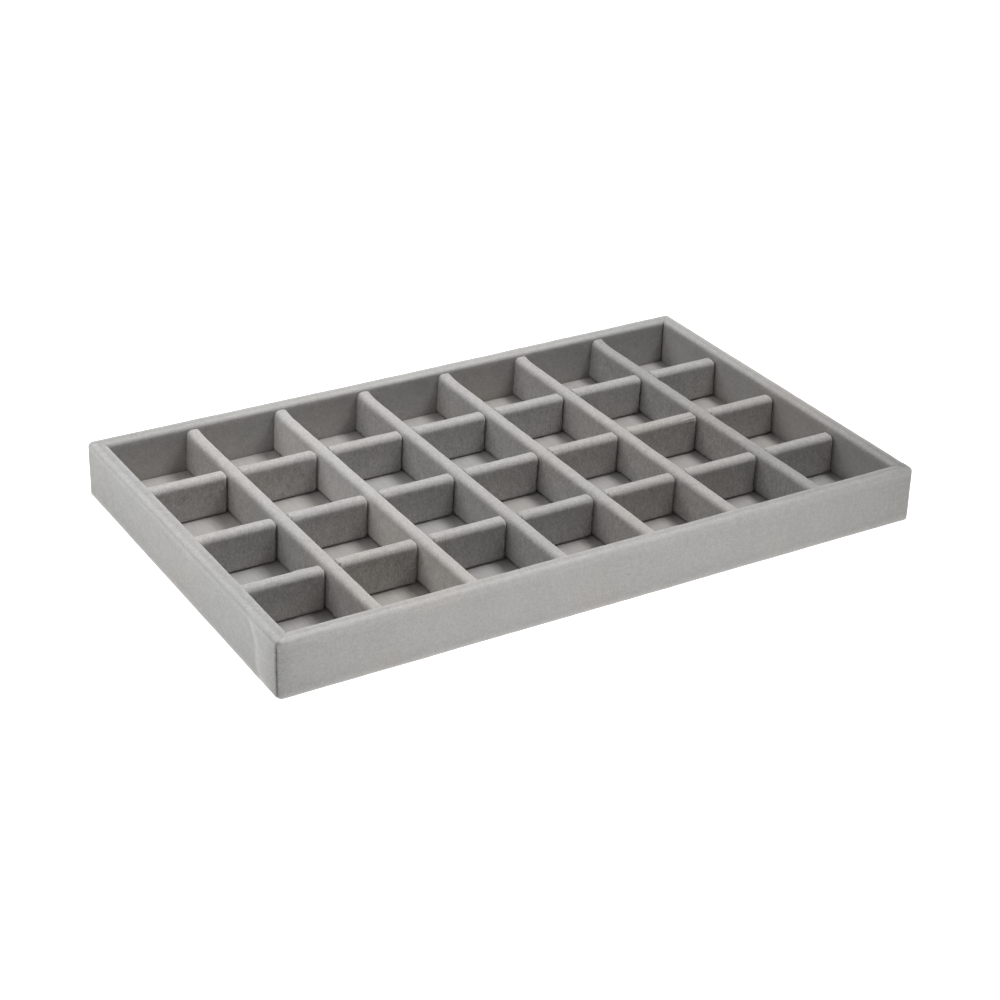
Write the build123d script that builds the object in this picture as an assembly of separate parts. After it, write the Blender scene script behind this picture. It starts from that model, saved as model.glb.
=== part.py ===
from build123d import *
import os

# Jewelry tray: a velvet covered frame on a flat floor, divided into rows of open cells.
# The origin is the middle of the underside, +X runs along the long side and +Z is up.
# All sizes are in millimetres.

# Driving sizes of the whole tray
tray_length = 360.0
tray_width = 222.0
tray_height = 30.0
columns = 7
rows = 4

# Frame of four wall boards, with velvet over the outside, the rim and the inside
board_thickness = 6.0
board_corner_round = 1.8
board_rim_round = 1.0
velvet = 1.2

# Bottom, from below: a felt sheet, the base board and the lined card that shows as floor
felt_thickness = 0.8
felt_inset = 2.5
base_thickness = 3.0
lining_thickness = 1.6
lining_gap = 0.2

# Dividers: a board core in a padded cover that is a little wider at its foot
core_thickness = 4.0
padding = 1.8
foot_spread = 1.0
cross_drop = 2.8
short_drop = 3.4
cover_gap = 0.25
crown_round = 3.0
end_round = 3.0

# A rounding stays under these shares of the half width, the board and the padding below it
half_width_share = 0.9
board_round_share = 0.95
padding_round_share = 3.0

# The dividers are set by hand, so each stands a little off its even place. These are shares
# of a divider's thickness: cross dividers from left to right, plus to the right, and short
# ones row by row from the front, each from left to right, plus to the back.
cross_offset_shares = (0.06, 0.08, -0.02, 0.0, -0.1, 0.03)
short_offset_shares = (
    (-0.1, 0.13, 0.13, 0.07, 0.07, 0.07, 0.04),
    (-0.3, -0.2, -0.16, -0.07, -0.04, 0.09, -0.07),
    (0.12, 0.06, -0.02, -0.04, 0.0, 0.06, 0.05),
)

# One overrun serves every cutting block
overrun = 1.0

# Levels, and sizes that follow from the ones above
board_low = felt_thickness + velvet
board_high = tray_height - velvet
base_top = felt_thickness + base_thickness
floor_level = base_top + lining_thickness
cross_top = tray_height - cross_drop
short_top = tray_height - short_drop
wall_thickness = board_thickness + 2 * velvet
inner_length = tray_length - 2 * wall_thickness
inner_width = tray_width - 2 * wall_thickness
half_top = core_thickness / 2 + padding
half_foot = half_top + foot_spread
divider_thickness = 2 * half_top
column_pitch = (inner_length + divider_thickness) / columns
row_pitch = (inner_width + divider_thickness) / rows
corner_round = min(board_corner_round, board_round_share * board_thickness)
rim_round = min(board_rim_round, board_round_share * corner_round, board_thickness / 2 * half_width_share)
crown_radius = min(crown_round, half_width_share * half_top, padding_round_share * padding)
end_radius = min(end_round, padding_round_share * padding)


def block(length, width, low, high):
    """A box between two levels, centred in plan."""
    return Pos(0, 0, low) * extrude(Rectangle(length, width), high - low)


def rimmed_ring(length, width, wall, low, high, corner, rim):
    """Four walls as one ring, rounded at its upright corners and along both rim edges."""
    outside = Pos(0, 0, low) * extrude(RectangleRounded(length, width, corner), high - low)
    ring = outside - block(length - 2 * wall, width - 2 * wall, low, high)
    return fillet(ring.faces().sort_by(Axis.Z)[-1].edges(), rim)


def mitre_sector(side):
    """The piece of the plan that belongs to one wall's velvet, cut at 45 degrees at the corners."""
    x, y = tray_length / 2, tray_width / 2
    depth = wall_thickness + overrun
    corners = {
        "front": ((-x, -y), (x, -y), (x - depth, depth - y), (depth - x, depth - y)),
        "back": ((x, y), (-x, y), (depth - x, y - depth), (x - depth, y - depth)),
        "left": ((-x, y), (-x, -y), (depth - x, depth - y), (depth - x, y - depth)),
        "right": ((x, -y), (x, y), (x - depth, y - depth), (x - depth, depth - y)),
    }[side]
    return extrude(make_face(Polyline(*corners, close=True)), tray_height)


def butt_sector(side):
    """The piece of the plan that belongs to one wall board: the long boards cover the ends of the short."""
    depth = velvet + board_thickness
    short_length = tray_width - 2 * depth
    if side in ("front", "back"):
        place = (tray_width - depth) / 2
        return Pos(0, place if side == "back" else -place, 0) * block(tray_length, depth, 0, tray_height)
    place = (tray_length - depth) / 2
    return Pos(place if side == "right" else -place, 0, 0) * block(depth, short_length, 0, tray_height)


def base_board():
    """The base board lies between the wall boards."""
    reach = 2 * (velvet + board_thickness)
    return block(tray_length - reach, tray_width - reach, felt_thickness, base_top)


def wall_boards():
    """The four wall boards, butted at the corners."""
    ring = rimmed_ring(tray_length - 2 * velvet, tray_width - 2 * velvet, board_thickness,
                       board_low, board_high, corner_round, rim_round)
    return ring


def wall_velvet(boards):
    """The velvet round the wall boards: up the outside, over the rim and down to the base board,
    with a hem turned under the boards."""
    ring = rimmed_ring(tray_length, tray_width, wall_thickness, felt_thickness, tray_height,
                       corner_round + velvet, rim_round + velvet)
    return ring - boards - base_board()


def column_place(index):
    """The middle of cross divider 1 to columns - 1, along X."""
    share = cross_offset_shares[(index - 1) % len(cross_offset_shares)]
    even = -inner_length / 2 + index * column_pitch - divider_thickness / 2
    return even + share * divider_thickness


def row_place(row, column):
    """The middle of the short divider behind the given row of cells, along Y."""
    row_shares = short_offset_shares[(row - 1) % len(short_offset_shares)]
    share = row_shares[(column - 1) % len(row_shares)]
    even = -inner_width / 2 + row * row_pitch - divider_thickness / 2
    return even + share * divider_thickness


def padded_section(height):
    """A divider's section, upright in the sketch: straight sides that close in to a rounded top."""
    outline = Polyline((-half_foot, floor_level), (half_foot, floor_level),
                       (half_top, height), (-half_top, height), close=True)
    face = make_face(outline)
    return fillet(face.vertices().group_by(Axis.Y)[-1], crown_radius)


def cross_divider(index):
    """The core and the cover of one divider that runs from the front wall to the back wall."""
    place = column_place(index)
    length = inner_width - 2 * cover_gap
    blank = extrude(Plane.XZ * padded_section(cross_top), length, both=True)
    profile = make_face(Polyline((-length / 2, floor_level), (length / 2, floor_level),
                                 (length / 2, cross_top), (-length / 2, cross_top), close=True))
    profile = fillet(profile.vertices().group_by(Axis.Y)[-1], end_radius)
    cover = Pos(place, 0, 0) * (blank & extrude(Plane.YZ * profile, half_foot + overrun, both=True))
    core = Pos(place, 0, 0) * block(core_thickness, length - 2 * padding, floor_level, cross_top - padding)
    return core, cover - core


def bay_sides(column):
    """Where a short divider may stand between its neighbours: the X of each side, at foot and top."""
    lean = foot_spread * (short_top - floor_level) / (cross_top - floor_level)
    low_x = high_x = cover_gap - inner_length / 2
    if column > 1:
        low_x = column_place(column - 1) + half_foot + cover_gap
        high_x = low_x - lean
    far_low_x = far_high_x = inner_length / 2 - cover_gap
    if column < columns:
        far_low_x = column_place(column) - half_foot - cover_gap
        far_high_x = far_low_x + lean
    return low_x, high_x, far_low_x, far_high_x


def short_divider(row, column):
    """The core and the cover of one divider between two cross dividers, or one and a wall."""
    low_x, high_x, far_low_x, far_high_x = bay_sides(column)
    bay = make_face(Polyline((low_x, floor_level), (far_low_x, floor_level),
                             (far_high_x, short_top), (high_x, short_top), close=True))
    bay = fillet(bay.vertices().group_by(Axis.Y)[-1], end_radius)
    place = row_place(row, column)
    blank = extrude(Plane.YZ * padded_section(short_top), tray_length, both=True)
    cover = blank & extrude(Plane.XZ * bay, half_foot + overrun, both=True)
    core_length = min(far_low_x, far_high_x) - max(low_x, high_x) - 2 * padding
    core_middle = (min(far_low_x, far_high_x) + max(low_x, high_x)) / 2
    core = Pos(core_middle, 0, 0) * block(core_length, core_thickness, floor_level, short_top - padding)
    return Pos(0, place, 0) * core, Pos(0, place, 0) * (cover - core)


def floor_lining():
    """The lined card that the dividers stand on."""
    return block(inner_length - 2 * lining_gap, inner_width - 2 * lining_gap, base_top, floor_level)


def underside_felt():
    """The felt sheet that covers the hems and the base board from below."""
    sheet = RectangleRounded(tray_length - 2 * felt_inset, tray_width - 2 * felt_inset,
                             corner_round + velvet)
    return extrude(sheet, felt_thickness)


def tray_pieces():
    """Every piece of the tray under its name."""
    boards = wall_boards()
    wrap = wall_velvet(boards)
    pieces = {
        "underside_felt": underside_felt(),
        "base_board": base_board(),
        "floor_lining": floor_lining(),
    }
    for side in ("front", "back", "left", "right"):
        pieces[f"{side}_wall_board"] = boards & butt_sector(side)
        pieces[f"{side}_wall_velvet"] = wrap & mitre_sector(side)
    for index in range(1, columns):
        core, cover = cross_divider(index)
        pieces[f"cross_divider_core_{index}"] = core
        pieces[f"cross_divider_velvet_{index}"] = cover
    for row in range(1, rows):
        cores = []
        for column in range(1, columns + 1):
            core, cover = short_divider(row, column)
            cores.append(core)
            pieces[f"short_divider_velvet_{row}_{column}"] = cover
        pieces[f"short_divider_cores_{row}"] = Compound(children=cores)
    return pieces


os.makedirs("parts", exist_ok=True)
for name, shape in tray_pieces().items():
    export_step(shape, f"parts/{name}.step")
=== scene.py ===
"""The looks of a velvet jewelry tray: its covers, lining and felt, its boards' finish and a pale studio."""

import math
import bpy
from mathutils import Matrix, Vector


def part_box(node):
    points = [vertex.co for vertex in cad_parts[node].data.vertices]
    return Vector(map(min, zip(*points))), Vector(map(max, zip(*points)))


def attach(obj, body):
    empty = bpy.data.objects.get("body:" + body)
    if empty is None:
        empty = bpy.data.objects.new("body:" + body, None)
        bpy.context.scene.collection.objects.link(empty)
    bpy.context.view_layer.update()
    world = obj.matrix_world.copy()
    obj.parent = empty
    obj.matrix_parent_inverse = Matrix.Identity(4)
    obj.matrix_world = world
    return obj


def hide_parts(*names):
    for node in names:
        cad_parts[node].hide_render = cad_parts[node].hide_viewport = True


bl_info = {
    "name": "Velvet Jewelry Tray",
    "version": (1, 0, 0),
    "blender": (4, 5, 0),
    "location": "3D View > Sidebar > Tray",
    "description": "Covers the tray's boards and dividers in velvet and sets the tray in a pale studio",
    "category": "Object",
}

import bmesh
import bpy
import numpy as np
from bpy.props import FloatProperty, FloatVectorProperty, PointerProperty
from bpy.types import Operator, Panel, PropertyGroup
from mathutils import Matrix, Vector, noise

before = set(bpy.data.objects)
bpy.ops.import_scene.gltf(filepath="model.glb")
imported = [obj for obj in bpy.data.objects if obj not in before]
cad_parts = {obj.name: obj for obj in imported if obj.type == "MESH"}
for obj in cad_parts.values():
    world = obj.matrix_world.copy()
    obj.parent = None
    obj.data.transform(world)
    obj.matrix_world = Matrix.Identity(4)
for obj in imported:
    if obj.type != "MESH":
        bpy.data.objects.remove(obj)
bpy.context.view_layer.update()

# The frame's names for what is covered or finished here
SIDES = ("front", "right", "back", "left")
CROSS_DIVIDERS = sorted(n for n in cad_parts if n.startswith("cross_divider_velvet_"))
SHORT_DIVIDERS = sorted(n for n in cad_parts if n.startswith("short_divider_velvet_"))
BOARDS = sorted(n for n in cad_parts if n.endswith("_board") or "_core" in n)

# The tray's main sizes, in metres, read from the frame
FRONT_LOW, FRONT_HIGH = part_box("front_wall_velvet")
HALF_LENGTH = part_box("right_wall_velvet")[1].x
HALF_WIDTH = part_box("back_wall_velvet")[1].y
WRAP_LOW = FRONT_LOW.z
RIM_HEIGHT = FRONT_HIGH.z
WALL = FRONT_HIGH.y - FRONT_LOW.y
BASE_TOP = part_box("floor_lining")[0].z
BOARD_REACH = HALF_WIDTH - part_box("base_board")[1].y
CROSS_LOW, CROSS_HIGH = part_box("cross_divider_velvet_1")
FOOT_WIDTH = CROSS_HIGH.x - CROSS_LOW.x
CROSS_TOP = CROSS_HIGH.z

# How finely the covers are divided, in metres and in cells
WRAP_FINE_STEP = 0.0005
WRAP_FINE_REACH = 0.030
WRAP_COARSE_STEP = 0.0016
WRAP_HEIGHT_STEP = 0.0011
WRAP_BEND_STEPS = 6
SHEET_STEP = 0.0022
SHEET_EDGE_STEPS = 4
COVER_STEP = 0.0009
COVER_END_CELLS = 5
COVER_CROWN_CELLS = 8
COVER_HEM_CELLS = 2
COVER_ACROSS_CELLS = 2


def metres(name, default, description):
    """A size of the tray or its studio."""
    return FloatProperty(name=name, default=default, unit="LENGTH", description=description)


def degrees(name, default, description):
    """An angle of a seam or of the camera."""
    return FloatProperty(name=name, default=math.radians(default), subtype="ANGLE", description=description)


def watts(name, default, description):
    """The power of a lamp."""
    return FloatProperty(name=name, default=default, unit="POWER", description=description)


def dye(name, default, description):
    """The colour of a fabric or board."""
    return FloatVectorProperty(name=name, default=default, subtype="COLOR", min=0, max=1,
                               description=description)


class TraySizes(PropertyGroup):
    """Sizes of the velvet and how it lies."""

    velvet: metres("Velvet thickness", 0.0011, "Thickness of the velvet that covers the walls and dividers")
    rim_round: metres("Rim rounding", 0.0022, "Radius of the velvet over each edge of the rim")
    corner_round: metres("Corner rounding", 0.0030, "Radius of the tray's upright outer corners")
    hem_round: metres("Hem rounding", 0.0010, "Radius where the velvet turns under the walls")
    hem_drop: metres("Hem drop", 0.0005, "How far the velvet hangs below the walls, beside the felt")
    hem_reach: metres("Hem reach", BOARD_REACH - 0.0002, "How far the velvet is turned under the walls")
    seam_shift: degrees("Seam shift", 27, "How far the front left seam sits from its corner's middle")
    top_width: metres("Divider top width", 0.0076, "Width of a divider below its crown")
    crown_round: metres("Crown rounding", 0.0030, "Radius of a divider's padded top")
    near_end_round: metres("Near end rounding", 0.0006,
                           "Radius of a divider's upper corner at its left or front end")
    right_end_round: metres("Right end rounding", 0.0022,
                            "Radius of a short divider's upper corner at its right end")
    back_end_round: metres("Back end rounding", 0.0008,
                           "Radius of a cross divider's upper corner at its back end")
    hem_tuck: metres("Hem tuck", 0.0010, "How far a cover draws in at its foot")
    hem_height: metres("Hem height", 0.0013, "Height of the drawn in foot of a cover")
    foot_gap: metres("Foot gap", 0.0003, "Shadow gap between a cover's foot and the lining")
    # Painted light: how far below a divider's top its lit crown colour fades into the shaded colour of its
    # sides
    lit_crown_fade: metres("Lit crown fade", 0.0048, "How far below a divider's top its pale crown fades out")


class TrayColours(PropertyGroup):
    """Colours of the fabrics and boards."""

    # Painted light: each velvet has a lit copy, paler, on tops, rims and outer faces, and a shaded copy,
    # darker, on the dividers' sides and the walls' inner faces
    wall_velvet: dye("Wall velvet", (0.482, 0.477, 0.463), "Colour of the walls' velvet, pale side")
    wall_shaded: dye("Wall velvet, shaded", (0.462, 0.454, 0.440),
                     "Colour of the walls' velvet where its nap faces away")
    # Painted light: the dividers' crowns take the lit copy and their sides the shaded copy
    divider_velvet: dye("Divider velvet", (0.540, 0.527, 0.508), "Colour of the dividers' crowns")
    divider_shaded: dye("Divider velvet, shaded", (0.470, 0.460, 0.445), "Colour of the dividers' sides")
    lining: dye("Lining", (0.465, 0.453, 0.435), "Colour of the smooth lining in the cells")
    felt: dye("Felt", (0.045, 0.045, 0.047), "Colour of the felt under the tray")
    fibreboard: dye("Fibreboard", (0.36, 0.25, 0.15), "Colour of the boards inside the velvet")
    studio: dye("Studio floor", (0.86, 0.86, 0.86), "Colour of the pale floor")


class TrayStudio(PropertyGroup):
    """Camera and lamps."""

    azimuth: degrees("Azimuth", -31.829, "Where the camera stands round the tray, from the front")
    elevation: degrees("Elevation", 28.072, "How high the camera stands above the floor")
    roll: degrees("Roll", 1.936, "How far the camera leans")
    distance: metres("Distance", 1.1564, "From the camera to the middle of the tray's underside")
    aside: metres("Aside", 0.000522, "How far the camera stands to the right of the tray's middle")
    above: metres("Above", 0.003402, "How far the camera aims above the tray's middle")
    lens: FloatProperty(name="Lens", default=80.628, unit="CAMERA",
                        description="Focal length on a sensor 36 mm wide")
    key_power: watts("Key lamp", 14.6, "Power of the large soft lamp high on the right")
    back_power: watts("Back lamp", 0.54, "Power of the soft lamp behind the tray's left")
    side_power: watts("Side lamp", 0.33, "Power of the low soft lamp on the left")
    top_power: watts("Top lamp", 0.28, "Power of the soft lamp above the tray")
    bounce: FloatProperty(name="Bounced light", default=0.86,
                          description="Light that the pale floor throws on the tray's outer faces")
    room: FloatProperty(name="Room light", default=0.077,
                        description="Strength of the even light of the room")


def math_node(operation, swapped=False):
    """A method of Flow that adds one Math node, with its own value last where swapped."""
    def method(self, *others):
        return self.sum(operation, *((*others, self) if swapped else (self, *others)))
    return method


class Flow:
    """A number, colour or vector on its way through a node tree. A sum with it adds its Math nodes."""

    def __init__(self, graph, socket):
        self.graph = graph
        self.socket = socket

    def other(self, name):
        """Another output of the same node."""
        return Flow(self.graph, self.socket.node.outputs[name])

    def sum(self, operation, *values):
        return self.graph.node("ShaderNodeMath", {"operation": operation}, dict(enumerate(values)))

    def fading(self, reach):
        """1 at zero, sinking evenly to 0 over that reach."""
        return (1 - self / reach).at_least(0)

    __add__ = __radd__ = math_node("ADD")
    __sub__ = math_node("SUBTRACT")
    __rsub__ = math_node("SUBTRACT", swapped=True)
    __mul__ = __rmul__ = math_node("MULTIPLY")
    __truediv__ = math_node("DIVIDE")
    __rtruediv__ = math_node("DIVIDE", swapped=True)
    __pow__ = math_node("POWER")
    __abs__ = math_node("ABSOLUTE")
    at_least = math_node("MAXIMUM")
    at_most = math_node("MINIMUM")
    is_below = math_node("LESS_THAN")
    sign = math_node("SIGN")
    root = math_node("SQRT")
    sine = math_node("SINE")


NOISE_MIDDLE = 0.5


class Graph:
    """Adds nodes to one tree and links them."""

    def __init__(self, tree):
        self.tree = tree

    def node(self, kind, settings=None, sockets=None, output=0):
        """One node of that kind: its settings first, then its sockets' values or links."""
        made = self.tree.nodes.new(kind)
        for setting, value in (settings or {}).items():
            setattr(made, setting, value)
        for name, value in (sockets or {}).items():
            if isinstance(value, Flow):
                self.tree.links.new(value.socket, made.inputs[name])
            else:
                made.inputs[name].default_value = value
        return Flow(self, made.outputs[output]) if made.outputs else None

    def vector(self, x=0.0, y=0.0, z=0.0):
        return self.node("ShaderNodeCombineXYZ", sockets={"X": x, "Y": y, "Z": z})

    def split(self, vector):
        """The x of a vector, with its y and z as the node's other outputs."""
        return self.node("ShaderNodeSeparateXYZ", sockets={0: vector})

    def vector_sum(self, operation, *values):
        return self.node("ShaderNodeVectorMath", {"operation": operation}, dict(enumerate(values)))

    def scaled(self, vector, share):
        return self.node("ShaderNodeVectorMath", {"operation": "SCALE"}, {0: vector, "Scale": share})

    def ranged(self, value, start, end, low, high):
        """Low before start, high past end, and even in between."""
        return self.node("ShaderNodeMapRange", sockets={0: value, 1: start, 2: end, 3: low, 4: high})

    def mottle(self, place, size, detail=2.0, roughness=0.55, drawn=(1, 1, 1), seed=0.0):
        """Soft noise from about -0.5 to 0.5, whose patches are about size wide and drawn out as said."""
        scaled = self.vector_sum("MULTIPLY", place, [1 / (size * share) for share in drawn])
        made = self.node("ShaderNodeTexNoise", {"noise_dimensions": "4D"}, {
            "Vector": scaled, "W": seed, "Scale": 1.0, "Detail": detail, "Roughness": roughness})
        return made - NOISE_MIDDLE

    def mixed(self, share, first, second):
        """The first colour, with that share of the second."""
        return self.node("ShaderNodeMix", {"data_type": "RGBA"}, {0: share, 6: first, 7: second}, output=2)

    def mark(self, name):
        """A mark that the mesh holds for each of its points."""
        return self.node("ShaderNodeAttribute", {"attribute_name": name}, output="Fac")

    def relief(self, height, depth, strength, **below):
        """The normals of a surface with that relief."""
        return self.node("ShaderNodeBump", sockets={
            "Height": height, "Distance": depth, "Strength": strength, **below})

    def finish(self, colour, tone, roughness, relief, habits):
        """Ends a material with a rough surface of that colour, made paler or darker by the tone."""
        shader = self.node("ShaderNodeBsdfPrincipled", sockets={
            "Base Color": self.scaled(colour, tone), "Roughness": roughness, "Normal": relief, **habits})
        self.node("ShaderNodeOutputMaterial", sockets={"Surface": shader})


def colour_of(name):
    """A colour of the tray's settings, with its alpha."""
    return (*getattr(bpy.context.scene.tray_colours, name), 1.0)


def new_material(name):
    """An empty material, the graph of its nodes and the place of each point on the tray."""
    material = bpy.data.materials.new(name)
    material.use_nodes = True
    material.node_tree.nodes.clear()
    graph = Graph(material.node_tree)
    return material, graph, graph.node("ShaderNodeTexCoord", output="Object")


# Velvet: sizes of its patches in metres, and how much each changes the tone
PILE_SIZE = 0.0008
TUFT_SIZE = 0.0024
NAP_SIZE = 0.020
NAP_TONE = 0.14
WARM_SIZE = 0.075
WARM_RANGE = (-0.12, 0.16)
WARM_TINT = (1.022, 0.996, 0.980, 1.0)
COOL_TINT = (0.990, 0.998, 1.014, 1.0)
PILE_ROUGHNESS = 0.92
PILE_ROUGHNESS_SPREAD = 0.1
PILE_RELIEF = (0.00012, 0.6)
TUFT_RELIEF = (0.00020, 0.5)
VELVET_HABITS = {"Specular IOR Level": 0.12, "Sheen Weight": 0.2, "Sheen Roughness": 0.45,
                 "Sheen Tint": (0.94, 0.93, 0.91, 1.0)}
# Each velvet: which way it is brushed, how strongly its pile and tufts change its tone, and how strongly its
# painted highlights and painted shade show
VELVETS = {
    "wall_pile": {"brushed": (1.4, 1.4, 1.0), "pile_tone": 0.78, "tuft_tone": 0.28, "painted_light_tone": 0.30},
    "cover_pile": {"brushed": (1.0, 1.0, 1.7), "pile_tone": 1.45, "tuft_tone": 0.50, "painted_light_tone": 0.06,
                   "calm": 0.30},
    "lining_pile": {"brushed": (1.0, 9.0, 1.0), "pile_tone": 0.30, "tuft_tone": 0.22, "painted_light_tone": 0.0},
}


def velvet(name, pale, turned, brushed, pile_tone, tuft_tone, painted_light_tone, calm=0.0):
    """Short cut pile, dull with a soft sheen: mottled by its tufts, which are longer the way they are
    brushed and calmer
    on a crown. Painted light: the lit colour on tops and outer faces, the shaded colour on the cells' sides,
    and the piece's painted highlights and painted shade."""
    material, graph, place = new_material(name)
    # Painted light: 1 where the lit colour is painted, 0 where the shaded one is
    lit_share = graph.mark("nap")
    pile = graph.mottle(place, PILE_SIZE, detail=3.0, roughness=0.7, drawn=brushed)
    tuft = graph.mottle(place, TUFT_SIZE, roughness=0.6, drawn=brushed, seed=3.0)
    # Big patches of the nap, which differ at random
    nap = graph.mottle(place, NAP_SIZE, detail=3.0, seed=7.0)
    warmth = graph.ranged(graph.mottle(place, WARM_SIZE, detail=1.0, seed=11.0), *WARM_RANGE, 0.0, 1.0)
    mottling = (pile * pile_tone + tuft * tuft_tone) * (1 - lit_share * calm)
    # Painted highlights and painted shade from the piece's marks, and its tone
    tone = 1.0 + mottling + nap * NAP_TONE + graph.mark("edge") * painted_light_tone + graph.mark("tone")
    # Painted light: the shaded colour blends into the lit one
    dyed = graph.mixed(lit_share, turned, pale)
    tinted = graph.vector_sum("MULTIPLY", graph.mixed(warmth, COOL_TINT, WARM_TINT), dyed)
    relief = graph.relief(pile, *PILE_RELIEF, Normal=graph.relief(tuft, *TUFT_RELIEF))
    graph.finish(tinted, tone, PILE_ROUGHNESS + pile * PILE_ROUGHNESS_SPREAD, relief, VELVET_HABITS)
    return material


# Felt and board: sizes of their fibres in metres, and how much each changes the tone
FELT_FIBRE = 0.0005
FELT_FIBRE_TONE = 1.1
FELT_CLUMP = 0.004
FELT_CLUMP_TONE = 0.8
FELT_ROUGHNESS = 0.95
FELT_ROUGHNESS_SPREAD = 0.08
FELT_RELIEF = (0.0002, 0.7)
FELT_HABITS = {"Specular IOR Level": 0.1, "Sheen Weight": 0.15, "Sheen Roughness": 0.5}
BOARD_FIBRE = 0.0014
BOARD_FIBRE_TONE = 0.5
BOARD_FLECK = 0.0005
BOARD_FLECK_RANGE = (0.12, 0.2)
BOARD_FLECK_TONE = 0.35
BOARD_ROUGHNESS = 0.85
BOARD_ROUGHNESS_SPREAD = 0.2
BOARD_RELIEF = (0.0001, 0.4)
BOARD_HABITS = {"Specular IOR Level": 0.25}


def felt(name, colour):
    """Pressed wool: matted fibres, some paler than the rest."""
    material, graph, place = new_material(name)
    fibre = graph.mottle(place, FELT_FIBRE, detail=4.0, roughness=0.7, drawn=(3, 1, 1))
    crossed = graph.mottle(place, FELT_FIBRE, detail=4.0, roughness=0.7, drawn=(1, 3, 1), seed=5.0)
    clump = graph.mottle(place, FELT_CLUMP, seed=9.0)
    tone = 1.0 + fibre * FELT_FIBRE_TONE + crossed * FELT_FIBRE_TONE + clump * FELT_CLUMP_TONE
    graph.finish(colour[:3], tone, FELT_ROUGHNESS + clump * FELT_ROUGHNESS_SPREAD,
                 graph.relief(fibre + crossed + clump, *FELT_RELIEF), FELT_HABITS)
    return material


def fibreboard(name, colour):
    """Raw pressed board: short fibres with dark flecks."""
    material, graph, place = new_material(name)
    fibre = graph.mottle(place, BOARD_FIBRE, detail=4.0, roughness=0.7, drawn=(4, 4, 1))
    fleck = graph.ranged(graph.mottle(place, BOARD_FLECK, seed=4.0), *BOARD_FLECK_RANGE, 0.0, 1.0)
    tone = 1.0 + fibre * BOARD_FIBRE_TONE - fleck * BOARD_FLECK_TONE
    graph.finish(colour[:3], tone, BOARD_ROUGHNESS + fibre * BOARD_ROUGHNESS_SPREAD,
                 graph.relief(fibre, *BOARD_RELIEF), BOARD_HABITS)
    return material


STEP_SLOPE = 4
STEP_REACH = 40


def ripple(points, size, seed=0.0):
    """Smooth noise from about -1 to 1 at each point of a grid, whose waves are about size long."""
    shift = Vector((seed, seed * 2, seed * 3))
    flat = points.reshape(-1, 3) / size
    values = [noise.noise(Vector(p) + shift) for p in flat]
    return np.array(values).reshape(points.shape[:-1])


def step_up(value, width):
    """0 well below zero and 1 well above it, over about that width."""
    return 1 / (1 + np.exp(-np.clip(STEP_SLOPE * value / width, -STEP_REACH, STEP_REACH)))


def bump(value, width):
    """1 at zero, fading to nothing over about that width each way."""
    return np.exp(-((value / (width / 2)) ** 2))


def swell(size_and_width, distance):
    """That size at no distance, fading to nothing over about that width each way."""
    size, width = size_and_width
    return size * bump(distance, width)


def faded(size_and_reach, distance):
    """That size at no distance, fading slowly over that reach."""
    size, reach = size_and_reach
    return size * np.exp(-distance / reach)


def outward(outer, inner):
    """The unit normals of the outer grid, pointing away from the inner one."""
    down = np.gradient(outer, axis=0, edge_order=2)
    along = np.gradient(outer, axis=1, edge_order=2)
    normal = np.cross(down, along)
    normal /= np.maximum(np.linalg.norm(normal, axis=2, keepdims=True), 1e-12)
    facing = np.sign((normal * (outer - inner)).sum(axis=2, keepdims=True).sum())
    return normal * facing


def shell(name, outer, inner, marks, material):
    """A thin closed sheet between two grids of points, with the named marks of each point."""
    rows, columns = outer.shape[:2]
    index = np.arange(2 * rows * columns).reshape(2, rows, columns)
    faces = []
    for grid in (*index, index[:, 0], index[:, -1], index[:, :, 0], index[:, :, -1]):
        corners = (grid[:-1, :-1], grid[1:, :-1], grid[1:, 1:], grid[:-1, 1:])
        faces.append(np.stack(corners, axis=-1).reshape(-1, 4))
    mesh = bpy.data.meshes.new(name)
    mesh.from_pydata(np.concatenate([outer.reshape(-1, 3), inner.reshape(-1, 3)]).tolist(), [],
                     np.concatenate(faces).tolist())
    for mark, values in marks.items():
        layer = mesh.attributes.new(mark, "FLOAT", "POINT")
        layer.data.foreach_set("value", np.tile(values.reshape(-1), 2).astype(np.float32))
    work = bmesh.new()
    work.from_mesh(mesh)
    bmesh.ops.recalc_face_normals(work, faces=work.faces)
    work.to_mesh(mesh)
    work.free()
    mesh.shade_smooth()
    mesh.materials.append(material)
    return add_piece(name, mesh)


def add_piece(name, data):
    """A piece of the tray with that mesh, or a lamp or camera, at the origin."""
    piece = bpy.data.objects.new(name, data)
    bpy.context.scene.collection.objects.link(piece)
    return piece


def seat(piece, nodes):
    """The piece rides on the tray in place of those nodes, which are hidden."""
    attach(piece, "root")
    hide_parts(*nodes)


def stretch(start, end, step):
    """Points along a straight part of a section, without its last."""
    count = max(1, round(math.dist(start, end) / step))
    share = np.linspace(0, 1, count, endpoint=False)[:, None]
    return np.array(start) * (1 - share) + np.array(end) * share


def bend(centre, radius, start, end, steps):
    """Points round an arc of a section, without its last."""
    angle = np.linspace(start, end, steps, endpoint=False)
    return np.stack([centre[0] + radius * np.cos(angle), centre[1] + radius * np.sin(angle)], axis=1)


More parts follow.
